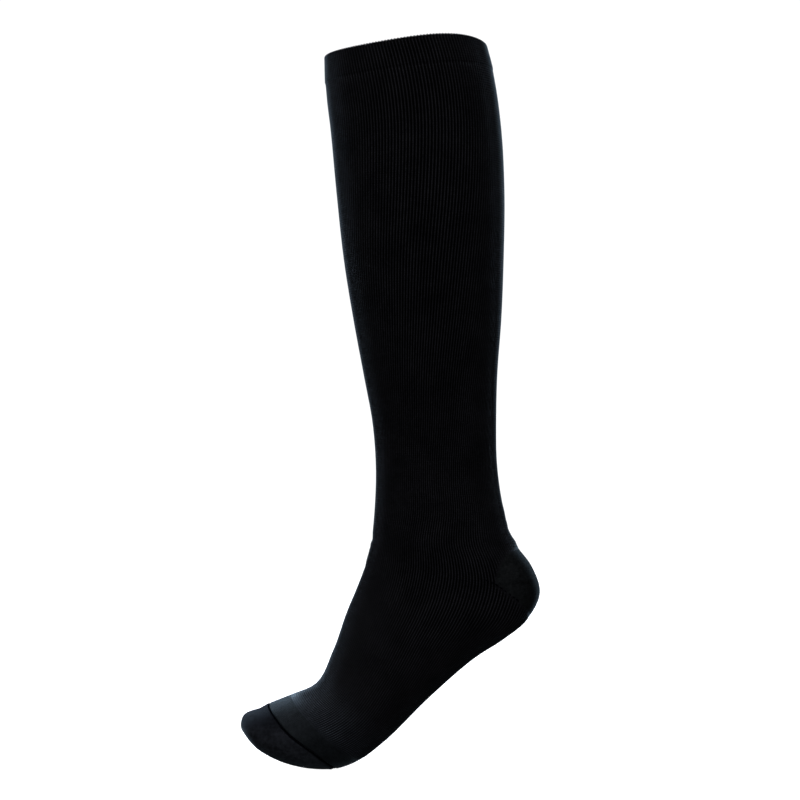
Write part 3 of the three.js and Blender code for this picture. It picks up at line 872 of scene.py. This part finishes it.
class STOCKING_OT_toe(StockingOperator):
    """Knit the plain toe panel and the toe cap, with rolled edges at the toe seam"""

    bl_idname = "stocking.toe"
    bl_label = "Toe"

    CAP_FINE = 2
    # Clear of the seam's middle, and where rows start to be even on the panel and on the cap
    GAP = 0.12
    PANEL_EVEN = 3.3
    CAP_EVEN = 3.6

    def execute(self, context):
        sizes = context.scene.stocking_sizes
        colours = context.scene.stocking_colours
        thickness = sizes.cloth / MM
        roll = sizes.seam_roll / MM
        start = form.to("rib end")
        material = knit_material(
            "plain toe knit", colours.thread, colours.toe, colours.toe, PLAIN_STITCH, sheen=0.035, mottle=0.35
        )

        def tucked(distance, rib, ridge):
            """How far the cloth rolls in beside the seam, behind a low ridge on the cap's side."""
            off = np.abs(distance - seam_line(rib))
            return ridge * np.exp(-(((off - 2.2) / 0.8) ** 2)) - roll * np.clip(1 - off / 1.6, 0, 1) ** 2

        def thread_shade(distance, rib):
            """Darker where the linking thread draws the edges together, with painted shade in the groove."""
            return 1 - np.exp(-((np.abs(distance - seam_line(rib)) / 1.25) ** 4))

        panel = Cloth()
        seam = seam_line(COLUMNS)[None]
        near = np.array([2.6, 2.0, 1.5, 1.0, 0.6, 0.3, self.GAP])[:, None]
        far = np.linspace(0, 1, 9)[:, None]
        distance = np.vstack([start + (seam - self.PANEL_EVEN - start) * far, seam - near])
        lift = creases(COLUMNS[None], distance) - PLAIN_DROP + tucked(distance, COLUMNS[None], 0.05)
        points = form.lifted(COLUMNS[None], distance, lift)[0]
        shade = thread_shade(distance, COLUMNS[None])
        out = panel.add_points(points, COLUMNS[None], distance, shade, joins=[0])
        seam = seam_line(INNER_COLUMNS)[None]
        distance = start + (seam - self.GAP - start) * np.linspace(0, 1, 6)[:, None]
        lift = creases(INNER_COLUMNS[None], distance) - thickness
        lift = lift + tucked(distance, INNER_COLUMNS[None], 0) * 0.6
        inner = panel.add_points(
            form.lifted(INNER_COLUMNS[None], distance, lift)[0], INNER_COLUMNS[None], distance, 0.75
        )
        panel.skin(out)
        panel.skin(inner, outside=False)
        panel.rim(closed(out[0]), closed(inner[0]), FINE, True)
        panel.rim(closed(out[-1]), closed(inner[-1]), FINE, False)
        piece = panel.finish("toe_panel_cloth", material, ["toe_panel"])

        cap = Cloth()
        columns = np.arange(RIBS * self.CAP_FINE) / (RIBS * self.CAP_FINE)
        seam = seam_line(columns)[None]
        near = np.array([self.GAP, 0.3, 0.6, 1.0, 1.4, 1.8, 2.2, 2.7])[:, None]
        even = seam + self.CAP_EVEN + (form.tip - seam - self.CAP_EVEN) * np.linspace(0, 1, 30)[:, None]
        distance = np.vstack([seam + near, even])
        round_off = smooth(distance, form.tip - 6, form.tip)
        lift = (creases(columns[None], distance) - PLAIN_DROP) * (1 - round_off)
        lift = lift + tucked(distance, columns[None], 0.22)
        points = form.lifted(columns[None], distance, lift)[0]
        # Painted shade darkens the cap over its top; below, it keeps its paler yarn.
        painted_top_shade = 1 - 0.88 * smooth(from_back(columns)[None], 12, 66)
        shade = thread_shade(distance, columns[None]) * painted_top_shade
        out = cap.add_points(points, columns[None], distance, shade)
        tip = points[-1].mean(axis=0) + [-0.6, 0, 0]
        pole = cap.add_points(tip[None], 0.5, form.tip + 0.6, 1)
        seam = seam_line(INNER_COLUMNS)[None]
        reach = form.to("toe end") - seam - self.GAP
        distance = seam + self.GAP + reach * np.linspace(0, 1, 14)[:, None]
        lift = tucked(distance, INNER_COLUMNS[None], 0) * 0.6 - thickness
        points = form.lifted(INNER_COLUMNS[None], distance, lift)[0]
        inner = cap.add_points(points, INNER_COLUMNS[None], distance, 0.75)
        middle = points[-1].mean(axis=0) + [-1.0, 0, 0]
        inner_pole = cap.add_points(middle[None], 0.5, form.to("toe end") + 1, 0.75)
        cap.skin(np.vstack([out, np.full(len(columns), pole[0])]))
        cap.skin(np.vstack([inner, np.full(RIBS, inner_pole[0])]), outside=False)
        cap.rim(closed(out[0]), closed(inner[0]), self.CAP_FINE, True)
        material = knit_material(
            "plain toe cap knit", colours.thread, colours.cap, colours.cap, PLAIN_STITCH, sheen=0.015, mottle=0.6
        )
        piece = cap.finish("toe_cap_cloth", material, ["toe_cap"])
        return {"FINISHED"}


def stitch_tree(material):
    """Geometry Nodes that set a rounded stitch at even steps along a line, across it and flat on the cloth.

    The line is a chain of edges, and its "out" attribute is the way out of the cloth.
    """
    tree = bpy.data.node_groups.new("stitches along a line", "GeometryNodeTree")
    sockets = [
        ("Line", "NodeSocketGeometry", "INPUT"),
        ("Spacing", "NodeSocketFloat", "INPUT"),
        ("Length", "NodeSocketFloat", "INPUT"),
        ("Thickness", "NodeSocketFloat", "INPUT"),
        ("Slant", "NodeSocketFloat", "INPUT"),
        ("Seed", "NodeSocketInt", "INPUT"),
        ("Stitches", "NodeSocketGeometry", "OUTPUT"),
    ]
    for name, kind, way in sockets:
        tree.interface.new_socket(name, in_out=way, socket_type=kind)
    given = add(tree, "NodeGroupInput").outputs
    line = add(tree, "GeometryNodeMeshToCurve", {"Mesh": given["Line"]})
    places = add(
        tree,
        "GeometryNodeResampleCurve",
        {"Curve": line.outputs[0], "Length": given["Spacing"]},
        mode="LENGTH",
    )
    out = add(tree, "GeometryNodeInputNamedAttribute", {"Name": "out"}, data_type="FLOAT_VECTOR")
    tangent = add(tree, "GeometryNodeInputTangent")
    flat = add(
        tree,
        "FunctionNodeAxesToRotation",
        {"Primary Axis": out.outputs[0], "Secondary Axis": tangent.outputs[0]},
        primary_axis="Z",
        secondary_axis="X",
    )
    lean = add(tree, "ShaderNodeCombineXYZ", {"Z": given["Slant"]})
    turned = add(
        tree, "FunctionNodeRotateRotation", {0: flat.outputs[0], 1: lean.outputs[0]}, rotation_space="LOCAL"
    )
    size = add(
        tree,
        "ShaderNodeCombineXYZ",
        {"X": given["Length"], "Y": given["Thickness"], "Z": given["Thickness"]},
    )
    uneven = add(
        tree,
        "FunctionNodeRandomValue",
        {2: 0.85, 3: 1.15, "Seed": given["Seed"]},
        data_type="FLOAT",
    )
    scale = add(
        tree, "ShaderNodeVectorMath", {0: size.outputs[0], 3: uneven.outputs[1]}, operation="SCALE"
    )
    stitch = add(tree, "GeometryNodeMeshUVSphere", {"Segments": 8, "Rings": 6, "Radius": 0.5})
    sewn = add(
        tree,
        "GeometryNodeInstanceOnPoints",
        {
            "Points": places.outputs[0],
            "Instance": stitch.outputs[0],
            "Rotation": turned.outputs[0],
            "Scale": scale.outputs[0],
        },
    )
    real = add(tree, "GeometryNodeRealizeInstances", {"Geometry": sewn.outputs[0]})
    spun = add(tree, "GeometryNodeSetMaterial", {"Geometry": real.outputs[0], "Material": material})
    add(tree, "NodeGroupOutput", {0: spun.outputs[0]})
    return tree


class STOCKING_OT_stitches(StockingOperator):
    """Sew the toe seam, and mark the loops that join the heel"""

    bl_idname = "stocking.stitches"
    bl_label = "Stitches"

    def sew(self, name, slot, tree, lines, values):
        """Stitches along lines: ribs, distances, a lift, and whether the line is a closed ring."""
        points, normals, edges = [], [], []
        for rib, distance, lift, ring in lines:
            place, out = form.lifted(rib, distance, np.full(len(rib), lift) + creases(rib, distance))
            first = len(points)
            points.extend((place * MM).tolist())
            normals.extend(out.tolist())
            edges.extend((first + k, first + k + 1) for k in range(len(rib) - 1))
            if ring:
                edges.append((first + len(rib) - 1, first))
        mesh = bpy.data.meshes.new(name)
        mesh.from_pydata(points, edges, [])
        way = mesh.attributes.new("out", "FLOAT_VECTOR", "POINT")
        way.data.foreach_set("vector", np.ravel(normals))
        holder = bpy.data.objects.new(name, mesh)
        bpy.context.scene.collection.objects.link(holder)
        nodes = holder.modifiers.new("stitches", "NODES")
        nodes.node_group = tree
        for item in tree.interface.items_tree:
            if item.in_out == "INPUT" and item.name in values:
                nodes[item.identifier] = values[item.name]
        made = holder.evaluated_get(bpy.context.evaluated_depsgraph_get())
        sewn = bpy.data.meshes.new_from_object(made)
        holder.modifiers.clear()
        holder.data = sewn
        bpy.data.meshes.remove(mesh)
        if not sewn.polygons:
            raise RuntimeError(f"{name} has no stitches")
        sewn.name = name
        sewn.polygons.foreach_set("use_smooth", [True] * len(sewn.polygons))
        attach(holder, BODY)

    def execute(self, context):
        sizes = context.scene.stocking_sizes
        material = thread_material("spun nylon thread", context.scene.stocking_colours.thread)
        tree = stitch_tree(material)
        ribs = np.arange(RIBS * 2) / (RIBS * 2)
        # The linking stitches lie across the groove
        seam = {
            "Spacing": sizes.stitch,
            "Length": 1.5 * MM,
            "Thickness": 0.34 * MM,
            "Slant": np.radians(58),
            "Seed": 4,
        }
        line = (ribs, seam_line(ribs), -0.5, True)
        self.sew("toe_seam_stitches", "toe_knit", tree, [line], seam)
        # The joining loops start just in front of the pocket's corner and run down its lower edge
        inside = np.linspace(POCKET_RIBS + 2.6, 12.5, 48)
        share = np.minimum(inside / POCKET_RIBS, 1)
        distance = form.split + POCKET_DROP * (1 - share**1.2) - 0.5 * np.maximum(inside - POCKET_RIBS, 0)
        gore = {
            "Spacing": sizes.gore_stitch,
            "Length": 2.6 * MM,
            "Thickness": 0.95 * MM,
            "Slant": 0.0,
            "Seed": 9,
        }
        sides = [(inside / RIBS, distance, -0.05, False), (1 - inside / RIBS, distance, -0.05, False)]
        self.sew("heel_gore_loops", "heel_knit", tree, sides, gore)
        return {"FINISHED"}


class STOCKING_OT_stage(StockingOperator):
    """Set the white floor, the soft lights and the camera"""

    bl_idname = "stocking.stage"
    bl_label = "Stage"

    # Where each light stands, its size in metres, its watts and its colour. The three behind draw the pale
    # edges.
    LIGHT_COLUMNS = ("name", "place", "size", "power", "colour")
    LIGHTS = [
        ("overhead", (-0.25, 0.0, 1.35), 1.3, 60.0, "#ffffff"),
        ("rim above", (-0.15, 1.35, 0.62), 0.8, 125.0, "#eaf3ff"),
        ("rim left", (-1.02, 1.22, -0.18), 0.5, 240.0, "#eaf3ff"),
        ("rim right", (0.98, 1.26, 0.02), 0.5, 240.0, "#eaf3ff"),
        ("front fill", (-0.2, -2.1, -0.25), 1.6, 34.0, "#ffffff"),
    ]

    def execute(self, context):
        scene = context.scene
        world = bpy.data.worlds.new("white surround")
        world.use_nodes = True
        world.node_tree.nodes.clear()
        # White above the horizon. Below it, where the floor hides it from view, it is dark, so the sole is too.
        way = add(world.node_tree, "ShaderNodeTexCoord")
        height = add(world.node_tree, "ShaderNodeSeparateXYZ", {0: way.outputs["Generated"]})
        share = add(
            world.node_tree,
            "ShaderNodeMapRange",
            {0: height.outputs["Z"], 1: -0.10, 2: -0.04, 3: 0.08, 4: 1.05},
        )
        sky = add(
            world.node_tree,
            "ShaderNodeBackground",
            {"Color": (1, 1, 1, 1), "Strength": share.outputs[0]},
        )
        add(world.node_tree, "ShaderNodeOutputWorld", {"Surface": sky.outputs[0]})
        scene.world = world

        bottom = min(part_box(name)[0].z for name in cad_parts)
        half = 40.0
        mesh = bpy.data.meshes.new("floor")
        corners = [(-half, -half, bottom), (half, -half, bottom), (half, half, bottom), (-half, half, bottom)]
        mesh.from_pydata(corners, [], [(0, 1, 2, 3)])
        # Opal acrylic, lit evenly from below: it shows no shadow and throws little light back
        paper = new_material("opal acrylic light table")
        tree = paper.node_tree
        spot = add(tree, "ShaderNodeTexCoord")
        fibre = add(tree, "ShaderNodeTexNoise", {"Vector": spot.outputs["Object"], "Scale": 6.0})
        shade = add(tree, "ShaderNodeMapRange", {0: fibre.outputs[0], 3: 0.07, 4: 0.08})
        sheet = add(
            tree,
            "ShaderNodeBsdfPrincipled",
            {
                "Base Color": shade.outputs[0],
                "Roughness": 0.9,
                "Specular IOR Level": 0.1,
                "Emission Color": (1, 1, 1, 1),
                "Emission Strength": 1.0,
            },
        )
        add(tree, "ShaderNodeOutputMaterial", {"Surface": sheet.outputs[0]})
        mesh.materials.append(paper)
        floor = bpy.data.objects.new("floor", mesh)
        scene.collection.objects.link(floor)
        floor.visible_diffuse = False

        aim = Vector((0, 0, -0.24))
        for row in self.LIGHTS:
            lamp = dict(zip(self.LIGHT_COLUMNS, row))
            data = bpy.data.lights.new(lamp["name"], "AREA")
            data.shape, data.size, data.energy = "DISK", lamp["size"], lamp["power"]
            data.color = linear(lamp["colour"])
            light = bpy.data.objects.new(lamp["name"], data)
            light.location = lamp["place"]
            light.rotation_euler = (aim - light.location).to_track_quat("-Z", "Y").to_euler()
            scene.collection.objects.link(light)

        # Level camera in front of the -Y side. At its distance a pixel of the photo's 800 is 0.67 mm.
        data = bpy.data.cameras.new("camera")
        data.sensor_width = 36
        data.lens = 36 / 800 * 1540 / 0.67
        data.clip_start, data.clip_end = 0.05, 100
        camera = bpy.data.objects.new("camera", data)
        camera.location = (-0.0037, -1.54, -0.2335)
        camera.rotation_euler = (np.pi / 2, 0, 0)
        scene.collection.objects.link(camera)
        scene.camera = camera
        scene.view_settings.view_transform = "Standard"
        scene.view_settings.look = "None"
        return {"FINISHED"}


class STOCKING_PT_panel(Panel):
    """Steps, sizes and colours of the stocking"""

    bl_idname = "STOCKING_PT_panel"
    bl_label = "Compression stocking"
    bl_space_type = "VIEW_3D"
    bl_region_type = "UI"
    bl_category = "Stocking"

    def draw(self, context):
        for step in STEPS:
            self.layout.operator(step.bl_idname)
        for group in (context.scene.stocking_sizes, context.scene.stocking_colours):
            box = self.layout.box()
            for name in group.bl_rna.properties.keys():
                if name not in ("rna_type", "name"):
                    box.prop(group, name)


STEPS = [
    STOCKING_OT_ribbed_cloth,
    STOCKING_OT_top_band,
    STOCKING_OT_heel_pocket,
    STOCKING_OT_toe,
    STOCKING_OT_stitches,
    STOCKING_OT_stage,
]
CLASSES = [StockingSizes, StockingColours, *STEPS, STOCKING_PT_panel]


def register():
    for each in CLASSES:
        bpy.utils.register_class(each)
    bpy.types.Scene.stocking_sizes = PointerProperty(type=StockingSizes)
    bpy.types.Scene.stocking_colours = PointerProperty(type=StockingColours)


def unregister():
    del bpy.types.Scene.stocking_colours
    del bpy.types.Scene.stocking_sizes
    for each in reversed(CLASSES):
        bpy.utils.unregister_class(each)


def main():
    register()
    for step in STEPS:
        group, name = step.bl_idname.split(".")
        getattr(getattr(bpy.ops, group), name)()


if __name__ == "__main__":
    main()
